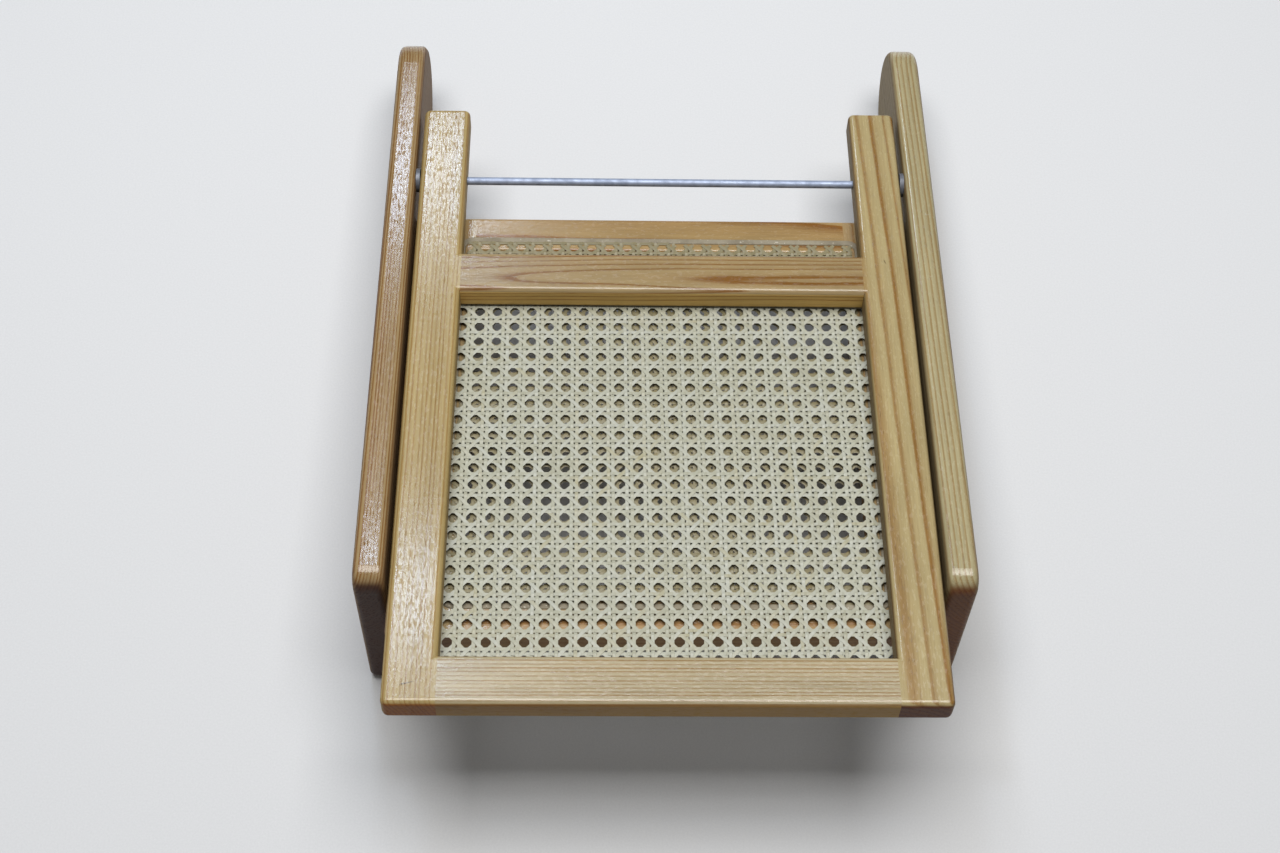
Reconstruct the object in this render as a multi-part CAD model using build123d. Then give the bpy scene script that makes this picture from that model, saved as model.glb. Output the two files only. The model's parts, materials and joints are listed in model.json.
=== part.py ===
from build123d import *
import math
import os

# Magazine rack, folded flat and lying on the rear edges of its two side boards.
# The panels are laid out in their own frame: X across, Y along the panels toward
# the rounded board tips, Z out of the front face, zero on the swing axis.
# The finished assembly is then tipped so that the boards' rear edges lie on Z = 0.

# --- side boards
BOARD_THICKNESS = 21.5
BOARD_INNER_X = 186.0
BOARD_TIP_Y = 158.0
BOARD_WIDE_Y = -357.0
BOARD_TIP_RADIUS = 43.0
BOARD_WIDE_DEPTH = 141.0
BOARD_FRONT_CORNER_RADIUS = 14.0
BOARD_REAR_CORNER_RADIUS = 8.0
BOARD_EDGE_RADIUS = 5.0

# --- front frame (swings on the rod)
PANEL_THICKNESS = 20.0
FRONT_WIDTH = 365.0
FRONT_STILE_WIDTH = 35.0
FRONT_STILE_TOP_Y = 65.5
FRONT_STILE_BOTTOM_Y = -443.5
FRONT_TOP_RAIL_Y = -77.5
FRONT_TOP_RAIL_HEIGHT = 35.5
FRONT_BOTTOM_RAIL_HEIGHT = 35.0
FRONT_EDGE_RADIUS = 4.0
FRONT_CORNER_RADIUS = 4.5

# --- rear frame (fixed between the boards)
FOLDED_GAP = 4.5
REAR_TOP_Y = -24.0
REAR_BOTTOM_Y = -382.0
REAR_RAIL_HEIGHT = 32.0
REAR_STILE_WIDTH = 46.5
REAR_EDGE_RADIUS = 3.0
REAR_CORNER_RADIUS = 3.5

# --- cane webbing and the reed that locks it in its groove
CANE_LAND = 7.5
CANE_THICKNESS = 1.2
GROOVE_WIDTH = 5.0
GROOVE_DEPTH = 5.0
GROOVE_CORNER_RADIUS = 6.0
REED_SIDE_GAP = 0.05
REED_PROUD = 0.8
REED_CROWN_RADIUS = 1.2

# --- rod, washers and dowels
ROD_DIAMETER = 6.0
ROD_SOCKET_DEPTH = 12.0
ROD_SOCKET_DIAMETER = 6.04
ROD_RUNNING_DIAMETER = 6.16
ROD_END_CHAMFER = 0.5
WASHER_OUTER_DIAMETER = 18.0
WASHER_INNER_DIAMETER = 6.4
WASHER_THICKNESS = 3.0
FRAME_DOWEL_DIAMETER = 8.0
FRAME_DOWEL_LENGTH = 40.0
FRAME_DOWEL_SPACING = 16.0
MOUNT_DOWEL_DIAMETER = 10.0
MOUNT_DOWEL_IN_BOARD = 12.0
MOUNT_DOWEL_IN_STILE = 20.0
MOUNT_DOWEL_INSET = 62.0
DOWEL_GLUE_GAP = 0.04

# --- positions that follow from the sizes above
FRONT_FACE_Z = PANEL_THICKNESS / 2
FRONT_BACK_Z = -PANEL_THICKNESS / 2
REAR_FACE_Z = FRONT_BACK_Z - FOLDED_GAP
REAR_MID_Z = REAR_FACE_Z - PANEL_THICKNESS / 2
FRONT_OPENING_X = FRONT_WIDTH / 2 - FRONT_STILE_WIDTH
FRONT_OPENING_TOP = FRONT_TOP_RAIL_Y - FRONT_TOP_RAIL_HEIGHT
FRONT_OPENING_BOTTOM = FRONT_STILE_BOTTOM_Y + FRONT_BOTTOM_RAIL_HEIGHT
REAR_OPENING_X = BOARD_INNER_X - REAR_STILE_WIDTH
REAR_OPENING_TOP = REAR_TOP_Y - REAR_RAIL_HEIGHT
REAR_OPENING_BOTTOM = REAR_BOTTOM_Y + REAR_RAIL_HEIGHT
WIDE_CORNER = (BOARD_WIDE_Y, FRONT_FACE_Z - BOARD_WIDE_DEPTH)
TIP_CENTRE = (BOARD_TIP_Y - BOARD_TIP_RADIUS, FRONT_FACE_Z - BOARD_TIP_RADIUS)


def rear_tangent_point():
    """Where the straight rear edge of a board runs into its rounded tip."""
    dy = WIDE_CORNER[0] - TIP_CENTRE[0]
    dz = WIDE_CORNER[1] - TIP_CENTRE[1]
    to_corner = math.atan2(dz, dy)
    half_angle = math.acos(BOARD_TIP_RADIUS / math.hypot(dy, dz))
    angle = to_corner + half_angle
    return (
        TIP_CENTRE[0] + BOARD_TIP_RADIUS * math.cos(angle),
        TIP_CENTRE[1] + BOARD_TIP_RADIUS * math.sin(angle),
    )


REAR_TANGENT = rear_tangent_point()
REST_ANGLE = math.degrees(
    math.atan2(REAR_TANGENT[1] - WIDE_CORNER[1], REAR_TANGENT[0] - WIDE_CORNER[0])
)


def slab(x_min, x_max, y_min, y_max, z_min, z_max):
    """A plain block between the given limits."""
    block = Box(x_max - x_min, y_max - y_min, z_max - z_min)
    return Pos((x_min + x_max) / 2, (y_min + y_max) / 2, (z_min + z_max) / 2) * block


def pin_x(diameter, length, x_mid, y, z):
    """A cylinder lying across the rack."""
    return Pos(x_mid, y, z) * Rot(0, 90, 0) * Cylinder(diameter / 2, length)


def rounded_plate(width, length, thickness, corner_radius, y_mid, z_min):
    """A flat plate with rounded corners, its lower face at z_min."""
    outline = RectangleRounded(width, length, corner_radius)
    return Pos(0, y_mid, z_min) * extrude(outline, thickness)


def ring(opening_x, top, bottom, inset, width, depth, z_min, corner_radius):
    """A rounded rectangular ring lying outside an opening."""
    y_mid = (top + bottom) / 2
    inner_w = 2 * (opening_x + inset)
    inner_l = top - bottom + 2 * inset
    outer = rounded_plate(
        inner_w + 2 * width, inner_l + 2 * width, depth, corner_radius + width, y_mid, z_min
    )
    return outer - rounded_plate(inner_w, inner_l, depth, corner_radius, y_mid, z_min)


def board_sockets(side):
    """Blind holes in a board for the rod end and the mounting dowels."""
    rod_mid = side * (BOARD_INNER_X + ROD_SOCKET_DEPTH / 2)
    holes = pin_x(ROD_SOCKET_DIAMETER, ROD_SOCKET_DEPTH, rod_mid, 0, 0)
    dowel_mid = side * (BOARD_INNER_X + MOUNT_DOWEL_IN_BOARD / 2)
    for y in mounting_dowel_rows():
        holes += pin_x(
            MOUNT_DOWEL_DIAMETER + 2 * DOWEL_GLUE_GAP, MOUNT_DOWEL_IN_BOARD, dowel_mid, y, REAR_MID_Z
        )
    return holes


def side_board(side):
    """A tapered board with a round tip, a square wide end and softened edges."""
    front_start = (BOARD_WIDE_Y, FRONT_FACE_Z)
    front_end = (TIP_CENTRE[0], FRONT_FACE_Z)
    tip_far = (BOARD_TIP_Y, TIP_CENTRE[1])
    with BuildPart() as board:
        with BuildSketch(Plane.YZ.offset(-BOARD_THICKNESS / 2)):
            with BuildLine():
                Line(WIDE_CORNER, front_start)
                Line(front_start, front_end)
                ThreePointArc(front_end, tip_far, REAR_TANGENT)
                Line(REAR_TANGENT, WIDE_CORNER)
            make_face()
        extrude(amount=BOARD_THICKNESS)
        wide_edges = board.edges().filter_by(Axis.X).group_by(Axis.Y)[0].sort_by(Axis.Z)
        fillet(wide_edges[-1], BOARD_FRONT_CORNER_RADIUS)
        wide_edges = board.edges().filter_by(Axis.X).sort_by(Axis.Z)
        fillet(wide_edges[0], BOARD_REAR_CORNER_RADIUS)
        fillet(board.faces().sort_by(Axis.X)[-1].edges(), BOARD_EDGE_RADIUS)
        fillet(board.faces().sort_by(Axis.X)[0].edges(), BOARD_EDGE_RADIUS)
    centred = Pos(side * (BOARD_INNER_X + BOARD_THICKNESS / 2), 0, 0) * board.part
    return centred - board_sockets(side)


def softened(frame_plan, z_min, corner_radius, edge_radius):
    """A panel frame as one blank, its ends' corners and all its long edges rounded."""
    blank = Pos(0, 0, z_min) * extrude(frame_plan, PANEL_THICKNESS)
    uprights = blank.edges().filter_by(Axis.Z).group_by(Axis.Y)
    blank = fillet(uprights[0] + uprights[-1], corner_radius)
    faces = blank.faces().filter_by(Axis.Z).sort_by(Axis.Z)
    blank = fillet(faces[-1].edges() + faces[0].edges(), edge_radius)
    return blank


def plan_rectangle(x_min, x_max, y_min, y_max):
    """A rectangle in the panel plane."""
    return Pos((x_min + x_max) / 2, (y_min + y_max) / 2) * Rectangle(x_max - x_min, y_max - y_min)


def front_blank():
    """The front frame before it is divided into stiles and rails."""
    half = FRONT_WIDTH / 2
    plan = plan_rectangle(-half, half, FRONT_STILE_BOTTOM_Y, FRONT_STILE_TOP_Y)
    plan -= plan_rectangle(
        -FRONT_OPENING_X, FRONT_OPENING_X, FRONT_OPENING_BOTTOM, FRONT_OPENING_TOP
    )
    plan -= plan_rectangle(
        -FRONT_OPENING_X, FRONT_OPENING_X, FRONT_TOP_RAIL_Y, FRONT_STILE_TOP_Y + 1
    )
    blank = softened(plan, FRONT_BACK_Z, FRONT_CORNER_RADIUS, FRONT_EDGE_RADIUS)
    blank -= ring(
        FRONT_OPENING_X, FRONT_OPENING_TOP, FRONT_OPENING_BOTTOM,
        CANE_LAND, GROOVE_WIDTH, GROOVE_DEPTH, FRONT_BACK_Z, GROOVE_CORNER_RADIUS,
    )
    blank -= pin_x(ROD_RUNNING_DIAMETER, FRONT_WIDTH, 0, 0, 0)
    for hole in front_dowel_pins(DOWEL_GLUE_GAP):
        blank -= hole
    return blank


def rear_blank():
    """The rear frame before it is divided into stiles and rails."""
    plan = plan_rectangle(-BOARD_INNER_X, BOARD_INNER_X, REAR_BOTTOM_Y, REAR_TOP_Y)
    plan -= plan_rectangle(-REAR_OPENING_X, REAR_OPENING_X, REAR_OPENING_BOTTOM, REAR_OPENING_TOP)
    blank = softened(
        plan, REAR_FACE_Z - PANEL_THICKNESS, REAR_CORNER_RADIUS, REAR_EDGE_RADIUS
    )
    blank -= ring(
        REAR_OPENING_X, REAR_OPENING_TOP, REAR_OPENING_BOTTOM,
        CANE_LAND, GROOVE_WIDTH, GROOVE_DEPTH, REAR_FACE_Z - GROOVE_DEPTH, GROOVE_CORNER_RADIUS,
    )
    for hole in rear_dowel_pins(DOWEL_GLUE_GAP):
        blank -= hole
    for side in (-1, 1):
        for hole in mounting_pins(side, DOWEL_GLUE_GAP):
            blank -= hole
    return blank


def member(blank, x_min, x_max, y_min, y_max):
    """One stile or rail sawn out of a frame blank."""
    reach = PANEL_THICKNESS * 2
    return blank & slab(x_min, x_max, y_min, y_max, -reach, reach)


def joint_pins(opening_x, rail_rows, z, gap):
    """Dowels across the stile-to-rail joints; gap widens them into holes."""
    pins = []
    for side in (-1, 1):
        for row in rail_rows:
            for offset in (-FRAME_DOWEL_SPACING / 2, FRAME_DOWEL_SPACING / 2):
                pins.append(
                    pin_x(FRAME_DOWEL_DIAMETER + 2 * gap, FRAME_DOWEL_LENGTH,
                          side * opening_x, row + offset, z)
                )
    return pins


def front_dowel_pins(gap=0.0):
    """The eight dowels, or their holes, of the front frame."""
    rows = (
        FRONT_TOP_RAIL_Y - FRONT_TOP_RAIL_HEIGHT / 2,
        FRONT_STILE_BOTTOM_Y + FRONT_BOTTOM_RAIL_HEIGHT / 2,
    )
    return joint_pins(FRONT_OPENING_X, rows, 0, gap)


def rear_dowel_pins(gap=0.0):
    """The eight dowels, or their holes, of the rear frame."""
    rows = (REAR_TOP_Y - REAR_RAIL_HEIGHT / 2, REAR_BOTTOM_Y + REAR_RAIL_HEIGHT / 2)
    return joint_pins(REAR_OPENING_X, rows, REAR_MID_Z, gap)


def mounting_dowel_rows():
    """Positions along the panel of the dowels that carry the rear frame."""
    return (REAR_TOP_Y - MOUNT_DOWEL_INSET, REAR_BOTTOM_Y + MOUNT_DOWEL_INSET)


def mounting_pins(side, gap=0.0):
    """Dowels, or their holes, between a board and the rear frame."""
    length = MOUNT_DOWEL_IN_BOARD + MOUNT_DOWEL_IN_STILE
    x_mid = side * (BOARD_INNER_X + (MOUNT_DOWEL_IN_BOARD - MOUNT_DOWEL_IN_STILE) / 2)
    return [
        pin_x(MOUNT_DOWEL_DIAMETER + 2 * gap, length, x_mid, y, REAR_MID_Z)
        for y in mounting_dowel_rows()
    ]


def reed(opening_x, top, bottom, groove_floor_z, outward):
    """The reed pressed over the cane into its groove, crowned on the open side."""
    height = GROOVE_DEPTH + REED_PROUD
    z_min = groove_floor_z if outward > 0 else groove_floor_z - height
    body = ring(
        opening_x, top, bottom, CANE_LAND + REED_SIDE_GAP, GROOVE_WIDTH - 2 * REED_SIDE_GAP,
        height, z_min, GROOVE_CORNER_RADIUS,
    )
    crown = body.faces().filter_by(Axis.Z).sort_by(Axis.Z)[-1 if outward > 0 else 0]
    return fillet(crown.edges(), REED_CROWN_RADIUS)


def cane_sheet(opening_x, top, bottom, z_min):
    """The woven cane as a thin plate lying on the land around the opening."""
    reach = CANE_LAND - REED_SIDE_GAP
    return rounded_plate(
        2 * (opening_x + reach), top - bottom + 2 * reach, CANE_THICKNESS,
        GROOVE_CORNER_RADIUS, (top + bottom) / 2, z_min,
    )


def pivot_rod():
    """The steel rod the front frame swings on."""
    length = 2 * (BOARD_INNER_X + ROD_SOCKET_DEPTH)
    rod = pin_x(ROD_DIAMETER, length, 0, 0, 0)
    return chamfer(rod.edges().filter_by(GeomType.CIRCLE), ROD_END_CHAMFER)


def pivot_washer(side):
    """A flat washer on the rod between a board and the front frame."""
    x_mid = side * (BOARD_INNER_X - WASHER_THICKNESS / 2)
    washer = pin_x(WASHER_OUTER_DIAMETER, WASHER_THICKNESS, x_mid, 0, 0)
    return washer - pin_x(WASHER_INNER_DIAMETER, WASHER_THICKNESS, x_mid, 0, 0)


def build_parts():
    """Every node of the rack, in the panel frame."""
    front = front_blank()
    rear = rear_blank()
    front_half = FRONT_WIDTH / 2
    nodes = {
        "left_side_board": side_board(-1),
        "right_side_board": side_board(1),
        "front_left_stile": member(
            front, -front_half, -FRONT_OPENING_X, FRONT_STILE_BOTTOM_Y, FRONT_STILE_TOP_Y
        ),
        "front_right_stile": member(
            front, FRONT_OPENING_X, front_half, FRONT_STILE_BOTTOM_Y, FRONT_STILE_TOP_Y
        ),
        "front_top_rail": member(
            front, -FRONT_OPENING_X, FRONT_OPENING_X, FRONT_OPENING_TOP, FRONT_TOP_RAIL_Y
        ),
        "front_bottom_rail": member(
            front, -FRONT_OPENING_X, FRONT_OPENING_X, FRONT_STILE_BOTTOM_Y, FRONT_OPENING_BOTTOM
        ),
        "rear_left_stile": member(
            rear, -BOARD_INNER_X, -REAR_OPENING_X, REAR_BOTTOM_Y, REAR_TOP_Y
        ),
        "rear_right_stile": member(
            rear, REAR_OPENING_X, BOARD_INNER_X, REAR_BOTTOM_Y, REAR_TOP_Y
        ),
        "rear_top_rail": member(
            rear, -REAR_OPENING_X, REAR_OPENING_X, REAR_OPENING_TOP, REAR_TOP_Y
        ),
        "rear_bottom_rail": member(
            rear, -REAR_OPENING_X, REAR_OPENING_X, REAR_BOTTOM_Y, REAR_OPENING_BOTTOM
        ),
        "front_cane_panel": cane_sheet(
            FRONT_OPENING_X, FRONT_OPENING_TOP, FRONT_OPENING_BOTTOM, FRONT_BACK_Z - CANE_THICKNESS
        ),
        "rear_cane_panel": cane_sheet(
            REAR_OPENING_X, REAR_OPENING_TOP, REAR_OPENING_BOTTOM, REAR_FACE_Z
        ),
        "front_cane_spline": reed(
            FRONT_OPENING_X, FRONT_OPENING_TOP, FRONT_OPENING_BOTTOM, FRONT_BACK_Z + GROOVE_DEPTH, -1
        ),
        "rear_cane_spline": reed(
            REAR_OPENING_X, REAR_OPENING_TOP, REAR_OPENING_BOTTOM, REAR_FACE_Z - GROOVE_DEPTH, 1
        ),
        "front_frame_dowels": Compound(children=front_dowel_pins()),
        "rear_frame_dowels": Compound(children=rear_dowel_pins()),
        "left_mounting_dowels": Compound(children=mounting_pins(-1)),
        "right_mounting_dowels": Compound(children=mounting_pins(1)),
        "pivot_rod": pivot_rod(),
        "left_pivot_washer": pivot_washer(-1),
        "right_pivot_washer": pivot_washer(1),
    }
    return nodes


def set_down(nodes):
    """Tip the rack onto the rear edges of its boards and centre it on the origin."""
    tipped = {name: Rot(-REST_ANGLE, 0, 0) * shape for name, shape in nodes.items()}
    boxes = [shape.bounding_box() for shape in tipped.values()]
    y_mid = (min(box.min.Y for box in boxes) + max(box.max.Y for box in boxes)) / 2
    z_floor = min(box.min.Z for box in boxes)
    return {name: Pos(0, -y_mid, -z_floor) * shape for name, shape in tipped.items()}


os.makedirs("parts", exist_ok=True)
for node_name, node_shape in set_down(build_parts()).items():
    node_shape.label = node_name
    export_step(node_shape, f"parts/{node_name}.step")
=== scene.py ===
"""The looks of the folding magazine rack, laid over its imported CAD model. Lengths are in metres."""

import json
import math
import random

import bpy
from mathutils import Matrix, Vector


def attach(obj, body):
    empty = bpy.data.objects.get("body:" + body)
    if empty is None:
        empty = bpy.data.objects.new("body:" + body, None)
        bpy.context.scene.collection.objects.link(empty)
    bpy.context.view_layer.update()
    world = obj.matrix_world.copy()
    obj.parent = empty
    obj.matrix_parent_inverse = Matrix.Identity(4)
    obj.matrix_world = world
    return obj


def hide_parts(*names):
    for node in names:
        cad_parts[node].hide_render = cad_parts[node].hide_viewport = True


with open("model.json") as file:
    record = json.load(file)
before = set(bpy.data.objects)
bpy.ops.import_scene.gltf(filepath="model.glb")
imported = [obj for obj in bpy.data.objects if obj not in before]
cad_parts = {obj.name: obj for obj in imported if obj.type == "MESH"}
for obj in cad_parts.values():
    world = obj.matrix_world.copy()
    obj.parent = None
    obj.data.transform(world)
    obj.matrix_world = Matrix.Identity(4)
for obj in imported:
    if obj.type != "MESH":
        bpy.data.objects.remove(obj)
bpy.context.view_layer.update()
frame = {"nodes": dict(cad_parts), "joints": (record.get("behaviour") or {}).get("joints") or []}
nodes = frame["nodes"]


def tip(node):
    """How far a flat node is tipped about X, from its largest face."""
    normal = max(nodes[node].data.polygons, key=lambda face: face.area).normal
    return math.atan(normal.y / normal.z)


# Both folded panels are tipped by REST about X. Their own frame has its origin on the swing axis,
# X across the rack, Y up the panel and Z square to it.
ROD = Vector(frame["joints"][0]["pos_m"])
REST = tip("rear_cane_panel")
TO_PANEL = Matrix.Rotation(REST, 4, "X") @ Matrix.Translation(-ROD)
PANEL_UP = (0, math.cos(REST), -math.sin(REST))
PANEL_FACE = (0, math.sin(REST), math.cos(REST))

# ------------------------------------------------------------------ material graphs


class Graph:
    """A thin wrapper that builds a material's node tree."""

    def __init__(self, name):
        self.mat = bpy.data.materials.new(name)
        self.mat.use_nodes = True
        self.tree = self.mat.node_tree
        self.tree.nodes.clear()
        out = self.add("ShaderNodeOutputMaterial")
        self.bsdf = self.add("ShaderNodeBsdfPrincipled")
        self.link(self.bsdf.outputs[0], out.inputs[0])

    def add(self, kind, **settings):
        node = self.tree.nodes.new(kind)
        for key, value in settings.items():
            setattr(node, key, value)
        return node

    def link(self, source, target):
        self.tree.links.new(source, target)

    def feed(self, socket, value):
        """Links a socket, or sets a plain value."""
        if isinstance(value, bpy.types.NodeSocket):
            self.link(value, socket)
        else:
            socket.default_value = value

    def math(self, operation, a, b=0.0, c=0.0, clamp=False):
        node = self.add("ShaderNodeMath", operation=operation, use_clamp=clamp)
        for socket, value in zip(node.inputs, (a, b, c)):
            self.feed(socket, value)
        return node.outputs[0]

    def facing(self, normal, direction):
        """1 where a surface is square to direction on either side, and 0 where it is edge-on."""
        node = self.add("ShaderNodeVectorMath", operation="DOT_PRODUCT")
        self.feed(node.inputs[0], normal)
        self.feed(node.inputs[1], direction)
        return self.math("ABSOLUTE", node.outputs["Value"])

    def combine(self, x, y, z):
        node = self.add("ShaderNodeCombineXYZ")
        for socket, value in zip(node.inputs, (x, y, z)):
            self.feed(socket, value)
        return node.outputs[0]

    def noise(self, vector, scale, detail=2.0, rough=0.5, dims="3D"):
        node = self.add("ShaderNodeTexNoise", noise_dimensions=dims)
        self.feed(node.inputs["W" if dims == "1D" else "Vector"], vector)
        node.inputs["Scale"].default_value = scale
        node.inputs["Detail"].default_value = detail
        node.inputs["Roughness"].default_value = rough
        return node.outputs[0]

    def ramp(self, value, stops):
        """stops is a list of (position, brightness or colour)."""
        node = self.add("ShaderNodeValToRGB")
        elements = node.color_ramp.elements
        while len(elements) < len(stops):
            elements.new(0.5)
        for element, (position, colour) in zip(elements, stops):
            element.position = position
            if isinstance(colour, (int, float)):
                colour = (colour, colour, colour)
            element.color = (*colour, 1.0)
        self.feed(node.inputs[0], value)
        return node.outputs[0]

    def remap(self, value, low, high, to_low=0.0, to_high=1.0, smooth=True):
        node = self.add("ShaderNodeMapRange")
        node.interpolation_type = "SMOOTHSTEP" if smooth else "LINEAR"
        self.feed(node.inputs["Value"], value)
        node.inputs["From Min"].default_value = low
        node.inputs["From Max"].default_value = high
        node.inputs["To Min"].default_value = to_low
        node.inputs["To Max"].default_value = to_high
        return node.outputs[0]

    def mix(self, factor, a, b, blend="MIX"):
        node = self.add("ShaderNodeMix", data_type="RGBA", blend_type=blend)
        self.feed(node.inputs[0], factor)
        for socket, value in ((node.inputs[6], a), (node.inputs[7], b)):
            if isinstance(value, tuple) and len(value) == 3:
                value = (*value, 1.0)
            self.feed(socket, value)
        return node.outputs[2]

    def bump(self, height, strength, distance):
        node = self.add("ShaderNodeBump")
        node.inputs["Strength"].default_value = strength
        node.inputs["Distance"].default_value = distance
        self.feed(node.inputs["Height"], height)
        self.link(node.outputs[0], self.bsdf.inputs["Normal"])

    def panel_coords(self):
        """The place on the surface in the panels' frame, and the surface's normal."""
        coords = self.add("ShaderNodeTexCoord")
        turn = self.add("ShaderNodeMapping", vector_type="TEXTURE")
        turn.inputs["Location"].default_value = ROD
        turn.inputs["Rotation"].default_value = (-REST, 0.0, 0.0)
        self.link(coords.outputs["Object"], turn.inputs["Vector"])
        return turn.outputs[0], coords.outputs["Normal"]


def srgb(*colour):
    """An 8-bit display colour as linear light."""
    shares = (c / 255 for c in colour)
    return tuple(c / 12.92 if c <= 0.04045 else ((c + 0.055) / 1.055) ** 2.4 for c in shares)


def scaled(colour, factor):
    return tuple(c * factor for c in colour)


def dress(name, material):
    """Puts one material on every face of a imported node."""
    mesh = nodes[name].data
    mesh.materials.clear()
    mesh.materials.append(material)


# ------------------------------------------------------------------ wood

# How finely each pattern repeats, per metre: across the grain, and along it.
DRIFT = (22.0, 3.2)
MOTTLE = (60.0, 9.0)
FIBRE = (900.0, 26.0)
PORE = (1900.0, 130.0)
DASH = (620.0, 190.0)

# How far the late wood is lighter, and the early wood darker, than the mean, in red, green and blue.
PALE_GAIN = (0.13, 0.19, 0.34)
STREAK_LOSS = (0.25, 0.43, 0.60)

RING_UNEVENNESS = 0.9         # how far rings differ in width, in rings
RING_CHANGE = 0.55            # how fast that changes, per ring
FRAY = 0.22                   # how far the fibres fray a ring's edge, in rings
EDGE_ROUGHNESS = 0.46         # added where a face isn't square to the panel
PORE_ROUGHNESS = 0.20         # added where the lacquer has sunk into the pores
PORE_SHADE = 0.52             # a pore's colour as a part of the early wood's
SCRATCH_SHADE = 0.18


def grain_noise(g, place, scales, detail, rough, shift=0.0):
    """Noise drawn out along the grain. place is (across, length, z)."""
    across, length, z = place
    return g.noise(
        g.combine(
            g.math("MULTIPLY", across, scales[0]),
            g.math("MULTIPLY_ADD", length, scales[1], shift),
            g.math("MULTIPLY", z, scales[0]),
        ),
        1.0, detail, rough,
    )


def ring_count(g, place, heart, lean, ring, sway, seed):
    """How many growth rings lie between a point and the tree's centre."""
    across, length, z = place
    a = g.math("SUBTRACT", across, g.math("MULTIPLY_ADD", length, lean[0], heart[0]))
    b = g.math("SUBTRACT", z, g.math("MULTIPLY_ADD", length, lean[1], heart[1]))
    radius = g.math("SQRT", g.math("ADD", g.math("MULTIPLY", a, a), g.math("MULTIPLY", b, b)))
    drift = grain_noise(g, place, DRIFT, 2.0, 0.45, seed)
    radius = g.math("ADD", radius, g.math("MULTIPLY", g.math("SUBTRACT", drift, 0.5), 2 * sway))
    uneven = g.noise(g.math("MULTIPLY_ADD", radius, RING_CHANGE / ring, seed), 1.0, 1.0, 0.5, "1D")
    return g.math("ADD", g.math("DIVIDE", radius, ring), g.math("MULTIPLY", uneven, RING_UNEVENNESS))


def scratch(g, x, y, broken, at, angle, length, width):
    """A mask for one short scratch through the lacquer, at a point of the panels' frame."""
    cos_a, sin_a = math.cos(angle), math.sin(angle)
    dx, dy = g.math("SUBTRACT", x, at[0]), g.math("SUBTRACT", y, at[1])
    run = g.math("ADD", g.math("MULTIPLY", dx, cos_a), g.math("MULTIPLY", dy, sin_a))
    off = g.math("SUBTRACT", g.math("MULTIPLY", dy, cos_a), g.math("MULTIPLY", dx, sin_a))
    mask = g.math(
        "MULTIPLY",
        g.remap(g.math("ABSOLUTE", run), length * 0.15, length * 0.5, 1.0, 0.0),
        g.remap(g.math("ABSOLUTE", off), width * 0.25, width * 0.5, 1.0, 0.0),
    )
    return g.math("MULTIPLY", mask, g.remap(broken, 0.35, 0.60, 0.25, 0.95))


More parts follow.
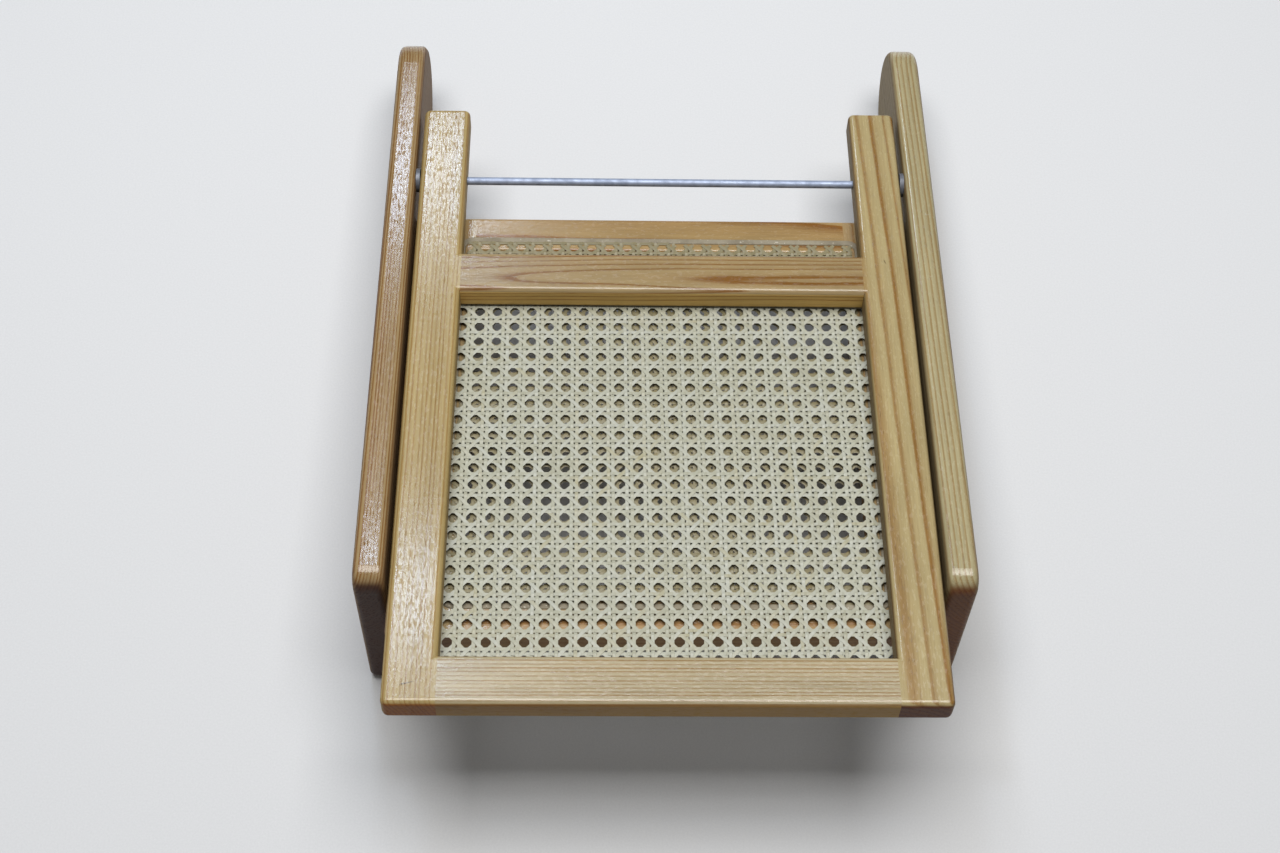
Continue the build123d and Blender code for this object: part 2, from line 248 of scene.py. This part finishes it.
def ash(
    name, along, heart, ring, tone, depth, lean=(0.0, 0.0), sway=0.0012, early=(0.16, 0.46), pore=0.5,
    seed=0.0, end_grain_and_shade_tint=(0.50, 0.36, 0.26), side_painted_light_tint=(0.80, 0.70, 0.54), blotch=0.10, lacquer=0.17,
    edge=(0.45, 0.85), marks=(),
):
    """Clear-lacquered ash, as one solid pattern of growth rings cut by the piece's faces.

    along is the grain's axis. heart is where the tree's centre lies across the piece, lean how far
    it moves per metre of length, and ring the ring width, all in the panels' frame. sway is how
    far the rings wander. tone is the mean display colour, depth how far early and late wood part
    from it, and blotch how far it varies along the piece. early is where in a ring the dark band
    is deepest, and where it has nearly faded. The side and end tints multiply the colour of long
    edges and of end grain: painted shade, or painted light where they are above one, as on the
    front top rail, and on end grain also its own darker colour. edge is how square to the panel a
    face is where this painted light and shade begins to give way, and where it is gone. pore is
    how strongly the pores show, lacquer the roughness of the polished faces, seed what sets a
    piece's noise apart, and marks its scratches."""
    mean = srgb(*tone)
    pale = tuple(c * (1 + k * depth) for c, k in zip(mean, PALE_GAIN))
    streak = tuple(c * (1 - k * depth) for c, k in zip(mean, STREAK_LOSS))
    g = Graph(name)
    coords, normal = g.panel_coords()
    parts = g.add("ShaderNodeSeparateXYZ")
    g.link(coords, parts.inputs[0])
    x, y, z = parts.outputs
    place = (x, y, z) if along == "Y" else (y, x, z)
    turns = ring_count(g, place, heart, lean, ring, sway, seed)
    fibre = grain_noise(g, place, FIBRE, 3.0, 0.62)
    dots = grain_noise(g, place, PORE, 1.0, 0.4)
    mottle = grain_noise(g, place, MOTTLE, 3.0, 0.55, seed * 3.1)

    # each ring starts with a dark porous band, frayed by the fibres and stronger in some rings
    frayed = g.math("MULTIPLY_ADD", g.math("SUBTRACT", fibre, 0.5), FRAY, g.math("FRACT", turns))
    band = g.ramp(
        frayed,
        [(0.0, 0.35), (early[0] * 0.5, 0.9), (early[0], 1.0), (early[1], 0.22), (0.8, 0.0), (1.0, 0.2)],
    )
    each_ring = g.noise(g.math("ADD", g.math("FLOOR", turns), seed + 0.37), 3.7, 0.0, 0.5, "1D")
    strength = g.math("MULTIPLY", band, g.remap(each_ring, 0.3, 0.7, 0.70, 1.20), clamp=True)
    colour = g.mix(strength, pale, streak)

    shade = g.remap(mottle, 0.25, 0.75, 1.0 - blotch, 1.0 + blotch, smooth=False)
    shade = g.math("MULTIPLY", shade, g.remap(fibre, 0.25, 0.75, 0.89, 1.10, smooth=False))
    colour = g.mix(1.0, colour, g.combine(shade, shade, shade), "MULTIPLY")
    pores = g.math("MULTIPLY", g.remap(dots, 0.60, 0.72), g.math("MULTIPLY_ADD", band, 0.8, 0.2))
    colour = g.mix(g.math("MULTIPLY", pores, pore), colour, scaled(streak, PORE_SHADE))

    # painted light and shade: long edges and end grain are multiplied by their own tints, darker to
    # paint the shade they lie in and, on the front top rail, lighter to paint light; end grain is also
    # a little darker of its own
    end = g.remap(g.facing(normal, PANEL_UP if along == "Y" else (1, 0, 0)), 0.55, 0.95)
    square_on = g.facing(normal, PANEL_FACE)
    flank_with_painted_light = g.mix(1.0, colour, side_painted_light_tint, "MULTIPLY")
    end_with_grain_and_shade = g.mix(1.0, colour, end_grain_and_shade_tint, "MULTIPLY")
    colour = g.mix(g.remap(square_on, *edge), g.mix(end, flank_with_painted_light, end_with_grain_and_shade), colour)
    for mark in marks:
        colour = g.mix(scratch(g, x, y, fibre, *mark), colour, scaled(streak, SCRATCH_SHADE))
    g.link(colour, g.bsdf.inputs["Base Color"])

    # the lacquer is polished on the faces, and sinks into the pores, so its gloss breaks into dashes
    polished = g.remap(square_on, 0.45, 0.85)
    dash = grain_noise(g, place, DASH, 2.0, 0.6)
    rough = g.math("MULTIPLY_ADD", g.math("SUBTRACT", mottle, 0.5), 0.08, lacquer)
    rough = g.math("MULTIPLY_ADD", g.remap(dash, 0.52, 0.66), PORE_ROUGHNESS, rough)
    rough = g.math("MULTIPLY_ADD", g.math("SUBTRACT", 1.0, polished), EDGE_ROUGHNESS, rough)
    g.link(rough, g.bsdf.inputs["Roughness"])
    relief = g.math("SUBTRACT", g.math("MULTIPLY", fibre, 0.30), g.math("MULTIPLY", pores, 0.8))
    relief = g.math("MULTIPLY_ADD", dash, -0.9, relief)
    relief = g.math("MULTIPLY", relief, g.math("MULTIPLY_ADD", polished, 0.8, 0.2))
    g.bump(relief, 0.32, 0.00025)
    return g.mat


# Each scratch is its middle, its angle in radians, its length and its width.
LEFT_STILE_SCRATCHES = (
    ((-0.1665, -0.4290), 0.28, 0.0130, 0.0009),
    ((-0.1683, -0.4294), 0.28, 0.0040, 0.0014),
)
RIGHT_STILE_NICK = (((0.1648, -0.0837), 1.90, 0.0060, 0.0009),)

# Each piece's side and end tints are painted shade on its long edges and ends, with end grain also
# darker of its own; on the front top rail the side tints are painted light.
WOODS = {
    "left_side_board": ash(
        "ash_left_board", "Y", heart=(-0.260, 0.030), ring=0.0021, tone=(139, 115, 76), depth=1.15,
        seed=1.3, early=(0.26, 0.54), lean=(0.006, 0.0), pore=0.6,
        end_grain_and_shade_tint=(0.17, 0.075, 0.03), side_painted_light_tint=(0.66, 0.57, 0.48)),
    "right_side_board": ash(
        "ash_right_board", "Y", heart=(0.285, 0.050), ring=0.0034, tone=(153, 141, 104), depth=0.75,
        seed=4.1, early=(0.20, 0.50), lean=(-0.016, 0.0), sway=0.0016,
        end_grain_and_shade_tint=(0.42, 0.17, 0.05), side_painted_light_tint=(0.60, 0.52, 0.42)),
    "front_left_stile": ash(
        "ash_front_left_stile", "Y", heart=(-0.235, -0.030), ring=0.0029, tone=(154, 133, 86),
        depth=0.75, seed=7.7, lean=(0.004, 0.0), pore=0.35,
        end_grain_and_shade_tint=(0.68, 0.31, 0.05), side_painted_light_tint=(0.92, 0.84, 0.62), marks=LEFT_STILE_SCRATCHES),
    "front_right_stile": ash(
        "ash_front_right_stile", "Y", heart=(0.120, -0.060), ring=0.0050, tone=(151, 132, 88),
        depth=1.35, seed=2.9, early=(0.18, 0.46), lean=(-0.030, 0.0), sway=0.0014,
        end_grain_and_shade_tint=(0.30, 0.11, 0.03), side_painted_light_tint=(0.52, 0.46, 0.33), marks=RIGHT_STILE_NICK),
    # painted light: this rail's long edges, its lower face most of all, are multiplied lighter to stand
    # for the light falling on them
    "front_top_rail": ash(
        "ash_front_top_rail", "X", heart=(-0.101, -0.0080), ring=0.0025, tone=(139, 116, 76),
        depth=1.30, seed=5.2, early=(0.08, 0.28), lean=(0.0, 0.013), sway=0.0044, blotch=0.14,
        side_painted_light_tint=(2.15, 1.95, 1.20), edge=(0.10, 0.45)),
    "front_bottom_rail": ash(
        "ash_front_bottom_rail", "X", heart=(-0.360, 0.004), ring=0.0028, tone=(155, 140, 106),
        depth=1.0, seed=9.4, early=(0.18, 0.44), lean=(0.002, 0.0), sway=0.0006,
        side_painted_light_tint=(0.78, 0.55, 0.22)),
    "rear_top_rail": ash(
        "ash_rear_top_rail", "X", heart=(-0.020, -0.060), ring=0.0060, tone=(142, 115, 71),
        depth=1.25, seed=3.6, early=(0.10, 0.36), lean=(0.015, 0.03), sway=0.005, blotch=0.16),
    "rear_bottom_rail": ash(
        "ash_rear_bottom_rail", "X", heart=(-0.420, -0.060), ring=0.0048, tone=(150, 122, 82),
        depth=0.75, seed=6.6, lean=(-0.02, 0.02), sway=0.004),
    "rear_left_stile": ash(
        "ash_rear_left_stile", "Y", heart=(-0.120, -0.080), ring=0.0042, tone=(149, 126, 86),
        depth=0.75, seed=8.8, lean=(0.012, 0.0), sway=0.003),
    "rear_right_stile": ash(
        "ash_rear_right_stile", "Y", heart=(0.210, -0.080), ring=0.0039, tone=(149, 124, 84),
        depth=0.75, seed=0.7, lean=(-0.012, 0.0), sway=0.003),
}
for node_name, material in WOODS.items():
    dress(node_name, material)

BEECH = ash(
    "beech_dowels", "X", heart=(0.3, 0.0), ring=0.0016, tone=(158, 124, 90), depth=0.5,
    seed=12.0, lacquer=0.55)
DOWELS = ("front_frame_dowels", "rear_frame_dowels", "left_mounting_dowels", "right_mounting_dowels")
for node_name in DOWELS:
    dress(node_name, BEECH)

# ------------------------------------------------------------------ steel

DRAWN_ROD = (12.0, 900.0, 900.0)     # marks per metre: long along the rod, fine round it
ROLLED_PLATE = (600.0, 600.0, 600.0)


def zinc_steel(name, marks, bright, dull):
    """Zinc-plated steel: cool grey with tooling marks and dull patches."""
    g = Graph(name)
    coords = g.add("ShaderNodeTexCoord").outputs["Object"]
    stretch = g.add("ShaderNodeMapping")
    stretch.inputs["Scale"].default_value = marks
    g.link(coords, stretch.inputs["Vector"])
    lines = g.noise(stretch.outputs[0], 1.0, 3.0, 0.6)
    patches = g.noise(coords, 160.0, 3.0, 0.6)
    colour = g.mix(g.remap(patches, 0.35, 0.7), srgb(*bright), srgb(*dull))
    colour = g.mix(g.remap(lines, 0.62, 0.78, 0.0, 0.25), colour, srgb(112, 112, 112))
    g.link(colour, g.bsdf.inputs["Base Color"])
    g.bsdf.inputs["Metallic"].default_value = 0.45
    g.link(g.remap(patches, 0.3, 0.7, 0.48, 0.62, smooth=False), g.bsdf.inputs["Roughness"])
    g.bump(lines, 0.25, 0.00008)
    return g.mat


dress("pivot_rod", zinc_steel("zinc_rod", DRAWN_ROD, (160, 170, 190), (136, 146, 166)))
# painted shade: the washers get the rod's zinc in a darker, greyer tone, to stand for the shade they
# sit in between the boards and the stiles
for side in ("left", "right"):
    washer_zinc_shaded = zinc_steel(f"shaded_zinc_washer_{side}", ROLLED_PLATE, (122, 124, 130), (96, 98, 104))
    dress(f"{side}_pivot_washer", washer_zinc_shaded)

# ------------------------------------------------------------------ reed splines


def reed_material(name):
    """Reed pressed into its groove: fine fibres, and specks of dried glue."""
    g = Graph(name)
    place, _ = g.panel_coords()
    fine = g.noise(place, 1500.0, 3.0, 0.6)
    slow = g.noise(place, 55.0, 4.0, 0.6)
    speck = g.noise(place, 420.0, 2.0, 0.5)
    colour = g.mix(g.remap(slow, 0.3, 0.7), srgb(142, 132, 110), srgb(120, 110, 90))
    colour = g.mix(g.remap(fine, 0.55, 0.75, 0.0, 0.5), colour, srgb(100, 86, 62))
    colour = g.mix(g.remap(speck, 0.64, 0.74, 0.0, 0.6), colour, srgb(214, 208, 190))
    g.link(colour, g.bsdf.inputs["Base Color"])
    g.link(g.remap(slow, 0.3, 0.7, 0.5, 0.7, smooth=False), g.bsdf.inputs["Roughness"])
    g.bump(g.math("MULTIPLY_ADD", speck, 0.5, fine), 0.5, 0.0003)
    return g.mat


for panel in ("front", "rear"):
    dress(f"{panel}_cane_spline", reed_material(f"reed_{panel}"))

# ------------------------------------------------------------------ woven cane

# Places and shifts along the weave are in pitches, from one hole to the next.
PAIR = 0.134                  # half the spacing of a pair of strands
STRAND_WIDTH = 0.00238
DIAGONAL_WIDTH = 0.0025
THICKNESS = 0.00034
RISE = 0.00040                # how far a strand of a pair moves up or down where it crosses another
DIAGONAL_RISE = 1.15 * RISE
PAIR_JITTER = 0.02            # how far a strand may lie off its place
DIAGONAL_JITTER = 0.025
WAVE = 0.008                  # how far a strand of a pair snakes
WAVE_PER_PITCH = 1.7          # in radians
WAVE_SPREAD = 6.3             # how far apart the strands' waves may start, in radians
FLAT_BEYOND = 0.2             # a pair's crossings lie this near to its middle
SPARE_STRANDS = 6             # strands made past the sheet on each side, before they are cut to it
CROSSINGS = (-0.27, -0.135, 0.0, 0.135, 0.27, 0.5)   # points of a pair's path in each pitch
POINTS_PER_DIAGONAL_PITCH = 4

# A strand's section: flat below and crowned above, in widths and thicknesses.
SECTION = ((-0.5, -0.4), (0.5, -0.4), (0.5, 0.2), (0.34, 0.5), (-0.34, 0.5), (-0.5, 0.2))

# For a sheet's uneven stretch, x counts from its origin in steps of STRETCH_X, and y from
# STRETCH_MID_Y in steps of STRETCH_Y.
STRETCH_X, STRETCH_Y, STRETCH_MID_Y = 0.12, 0.0825, -0.21

# How far the fibre pattern is turned for each way that strands run. On the two diagonals it lies
# across the strands.
FIBRE_TURNS = {"upright": math.pi / 2, "level": 0.0, "fall": -math.pi / 4, "climb": math.pi / 4}


def cane_material(name, angle, painted_shade):
    """Split cane with a pale, slightly glossy skin. angle turns the pattern of its fibres, and the
    colour is multiplied by a painted shade, darker for the rear sheet.
    """
    g = Graph(name)
    place, _ = g.panel_coords()
    tone = g.add("ShaderNodeAttribute", attribute_name="strand_tone").outputs["Fac"]
    turn = g.add("ShaderNodeVectorRotate", rotation_type="Z_AXIS")
    g.link(place, turn.inputs["Vector"])
    turn.inputs["Angle"].default_value = angle
    stretch = g.add("ShaderNodeMapping")
    stretch.inputs["Scale"].default_value = (140.0, 3200.0, 900.0)
    g.link(turn.outputs[0], stretch.inputs["Vector"])
    fibre = g.noise(stretch.outputs[0], 1.0, 2.0, 0.6)
    slow = g.noise(place, 34.0, 3.0, 0.6)
    spot = g.noise(place, 95.0, 3.0, 0.7)
    blend = g.math("ADD", g.math("MULTIPLY", tone, 0.6), g.math("MULTIPLY", slow, 0.5), clamp=True)
    colour = g.ramp(
        blend,
        [(0.12, srgb(152, 149, 127)), (0.45, srgb(162, 161, 142)), (0.72, srgb(168, 168, 154)),
         (0.95, srgb(156, 149, 116))],
    )
    # painted shade: the colour is multiplied darker by the given shade, which for the rear sheet stands
    # for the shade behind the front sheet
    colour = g.mix(1.0, colour, painted_shade, "MULTIPLY")
    colour = g.mix(g.remap(fibre, 0.5, 0.85, 0.0, 0.35), colour, srgb(128, 116, 80))
    colour = g.mix(g.remap(spot, 0.68, 0.80, 0.0, 0.5), colour, srgb(132, 118, 76))
    g.link(colour, g.bsdf.inputs["Base Color"])
    g.link(g.remap(fibre, 0.3, 0.8, 0.38, 0.58, smooth=False), g.bsdf.inputs["Roughness"])
    g.bump(fibre, 0.4, 0.00012)
    return g.mat


def ribbon(verts, faces, tones, path, width, tone):
    """Adds one closed flat strand along path, a list of points in the panels' frame."""
    start = len(verts)
    count = len(SECTION)
    for i, point in enumerate(path):
        before = path[max(i - 1, 0)]
        after = path[min(i + 1, len(path) - 1)]
        run = (after[0] - before[0], after[1] - before[1])
        size = math.hypot(*run)
        side = (-run[1] / size, run[0] / size)
        for u, v in SECTION:
            verts.append((
                point[0] + side[0] * u * width,
                point[1] + side[1] * u * width,
                point[2] + v * THICKNESS,
            ))
            tones.append(tone)
        if i:
            a = start + (i - 1) * count
            b = start + i * count
            for k in range(count):
                m = (k + 1) % count
                faces.append((a + k, a + m, b + m, b + k))
    end = start + (len(path) - 1) * count
    faces.append(tuple(start + k for k in range(count))[::-1])
    faces.append(tuple(end + k for k in range(count)))


def panel_extent(node):
    """A node's lowest and highest x, y and z in the panels' frame."""
    points = [TO_PANEL @ v.co for v in nodes[node].data.vertices]
    return [(min(values), max(values)) for values in zip(*points)]


def weave(node, pitch, origin, skew, seed, stretch):
    """The strands of a six-way sheet, by the way they run, as (path, width, tone)."""
    (x0, x1), (y0, y1), (z0, z1) = panel_extent(node)
    z_mid = (z0 + z1) / 2
    rng = random.Random(seed)
    px, py = pitch
    cos_s, sin_s = math.cos(skew), math.sin(skew)
    reach = int(max((x1 - x0) / px, (y1 - y0) / py)) + SPARE_STRANDS
    iu = round(((x0 + x1) / 2 - origin[0]) / px)
    iv = round(((y0 + y1) / 2 - origin[1]) / py)

    def place(u, v, z):
        """A point of the hole grid, in pitches, in the panels' frame."""
        gx, gy = u * px, v * py
        s, t = gx / STRETCH_X, (origin[1] + gy - STRETCH_MID_Y) / STRETCH_Y
        gx += px * (stretch[0] + stretch[1] * s + stretch[2] * t + stretch[3] * s * t)
        return (origin[0] + gx * cos_s - gy * sin_s, origin[1] + gx * sin_s + gy * cos_s, z_mid + z)

    def strand(path, width, tone):
        """Cuts a path to the sheet."""
        kept = [p for p in path if x0 <= p[0] <= x1 and y0 <= p[1] <= y1]
        return kept, width, tone

    def pairs(upright):
        """The strands that run in pairs, up the panel or across it."""
        strands = []
        middle, along_middle = (iu, iv) if upright else (iv, iu)
        for i in range(middle - reach, middle + reach + 1):
            for side in (-1, 1):
                tone, jitter = rng.random(), rng.uniform(-PAIR_JITTER, PAIR_JITTER)
                path = []
                for j in range(along_middle - reach, along_middle + reach + 1):
                    for w in CROSSINGS:
                        crossing = 0 < abs(w) < FLAT_BEYOND
                        over = side if (w < 0) == upright else -side
                        z = over * RISE if crossing else 0.0
                        wave = WAVE * math.sin(WAVE_PER_PITCH * (j + w) + WAVE_SPREAD * tone)
                        across = i + 0.5 + side * PAIR + jitter + wave
                        along = j + 0.5 + w
                        u, v = (across, along) if upright else (along, across)
                        path.append(place(u, v, z))
                strands.append(strand(path, STRAND_WIDTH, tone))
        return strands

    runs = {"upright": pairs(True), "level": pairs(False), "fall": [], "climb": []}
    half_steps = POINTS_PER_DIAGONAL_PITCH * reach
    for k in range(-2 * reach, 2 * reach + 1):
        for kind, sign in (("fall", -1), ("climb", 1)):
            tone, jitter = rng.random(), rng.uniform(-DIAGONAL_JITTER, DIAGONAL_JITTER)
            path = []
            for step in range(-half_steps, half_steps + 1):
                u = iu + step / POINTS_PER_DIAGONAL_PITCH
                v = iv + sign * (u - iu) + k + 0.5 + jitter
                path.append(place(u, v, sign * DIAGONAL_RISE * math.cos(2 * math.pi * u)))
            runs[kind].append(strand(path, DIAGONAL_WIDTH, tone))
    return runs


def cane(node, body, pitch, origin, skew, seed, painted_shade=(1.0, 1.0, 1.0), stretch=(0, 0, 0, 0)):
    """Woven cane in place of a plain plate.

    A hole's centre lies at origin in the panels' frame, and the others follow at the pitch, turned
    by skew. stretch shifts the holes sideways, in pitches: evenly, with x, with y, and with both."""
    to_row = TO_PANEL.inverted()
    pieces = []
    for kind, strands in weave(node, pitch, origin, skew, seed, stretch).items():
        verts, faces, tones = [], [], []
        for path, width, tone in strands:
            if len(path) > 2:
                ribbon(verts, faces, tones, path, width, tone)
        data = bpy.data.meshes.new(f"{node}_{kind}")
        data.from_pydata([tuple(to_row @ Vector(v)) for v in verts], [], faces)
        data.attributes.new("strand_tone", "FLOAT", "POINT").data.foreach_set("value", tones)
        data.materials.append(cane_material(f"{node}_{kind}", FIBRE_TURNS[kind], painted_shade))
        data.validate()
        piece = bpy.data.objects.new(f"{node}_{kind}", data)
        bpy.context.scene.collection.objects.link(piece)
        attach(piece, body)
        pieces.append(piece)
    for piece in pieces:
        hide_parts(node)


# Half-inch webbing, pulled longer than it is wide in front and wider than it is long behind.
HALF_INCH = 0.0127
FRONT_PITCH = (HALF_INCH, 1.0704 * HALF_INCH)
FRONT_ORIGIN = (-0.1312726, -0.3893736)
REAR_PITCH = (0.013564, 0.012500)
REAR_ORIGIN = (-0.251 * REAR_PITCH[0], 0.745 * REAR_PITCH[1])

cane("front_cane_panel", "front_frame", FRONT_PITCH, FRONT_ORIGIN, skew=0.0081, seed=11)
# painted shade: the rear sheet's colour is multiplied darker all over, to stand for the shade it lies
# in behind the front sheet
cane(
    "rear_cane_panel", "stand", REAR_PITCH, REAR_ORIGIN, skew=0.0053, seed=23,
    painted_shade=(0.58, 0.50, 0.345), stretch=(0.1625, -0.0375, 0.0875, -0.0625))

# ------------------------------------------------------------------ floor, light, camera

FLOOR_HALF = 30.0
FLOOR_SHADES = (0.59, 0.63)
RACK_MIDDLE = (0.0, 0.0, 0.08)
WINDOW_BLUE = (0.66, 0.80, 1.0)
SKY = (0.95, 0.97, 1.0, 1.0)
SKY_STRENGTH = 0.11
CAMERA_AT = (-0.04463, -0.68913, 1.29349)
CAMERA_TURN = (27.3434, -1.2610, -0.1810)   # degrees about X, Y and Z
CAMERA_LENS = 53.364


def floor():
    """Plain pale paper."""
    s = FLOOR_HALF
    mesh = bpy.data.meshes.new("studio_floor")
    mesh.from_pydata([(-s, -s, 0), (s, -s, 0), (s, s, 0), (-s, s, 0)], [], [(0, 1, 2, 3)])
    g = Graph("floor_paper")
    grain = g.noise(g.add("ShaderNodeTexCoord").outputs["Object"], 700.0, 3.0, 0.6)
    g.link(g.ramp(grain, list(zip((0.3, 0.7), FLOOR_SHADES))), g.bsdf.inputs["Base Color"])
    g.bsdf.inputs["Roughness"].default_value = 0.9
    mesh.materials.append(g.mat)
    obj = bpy.data.objects.new("studio_floor", mesh)
    bpy.context.scene.collection.objects.link(obj)


def area_light(name, at, target, size, power, colour=(1, 1, 1)):
    light = bpy.data.lights.new(name, "AREA")
    light.shape = "RECTANGLE"
    light.size, light.size_y = size
    light.energy = power
    light.color = colour
    obj = bpy.data.objects.new(name, light)
    obj.location = at
    obj.rotation_euler = (Vector(target) - Vector(at)).to_track_quat("-Z", "Y").to_euler()
    bpy.context.scene.collection.objects.link(obj)


def sky():
    world = bpy.data.worlds.new("studio")
    world.use_nodes = True
    background = world.node_tree.nodes["Background"]
    background.inputs[0].default_value = SKY
    background.inputs[1].default_value = SKY_STRENGTH
    bpy.context.scene.world = world


def camera():
    data = bpy.data.cameras.new("camera")
    data.sensor_width = 36.0
    data.lens = CAMERA_LENS
    obj = bpy.data.objects.new("camera", data)
    obj.location = CAMERA_AT
    obj.rotation_euler = tuple(math.radians(angle) for angle in CAMERA_TURN)
    bpy.context.scene.collection.objects.link(obj)
    bpy.context.scene.camera = obj


floor()
# The two small windows are where the lacquer mirrors them to the camera as broken glare.
area_light("overhead", (0.0, 0.28, 2.6), (0.0, 0.20, 0.0), size=(2.2, 1.4), power=84)
area_light("window_far", (-0.46, 2.22, 1.95), RACK_MIDDLE, (0.36, 0.22), 7.5, WINDOW_BLUE)
area_light("window_near", (-0.47, 1.27, 2.25), RACK_MIDDLE, (0.26, 0.17), 5.6, WINDOW_BLUE)
area_light("front_fill", (0.2, -2.4, 1.7), RACK_MIDDLE, size=(2.0, 1.2), power=2.0)
sky()
bpy.context.scene.view_settings.view_transform = "Standard"
camera()
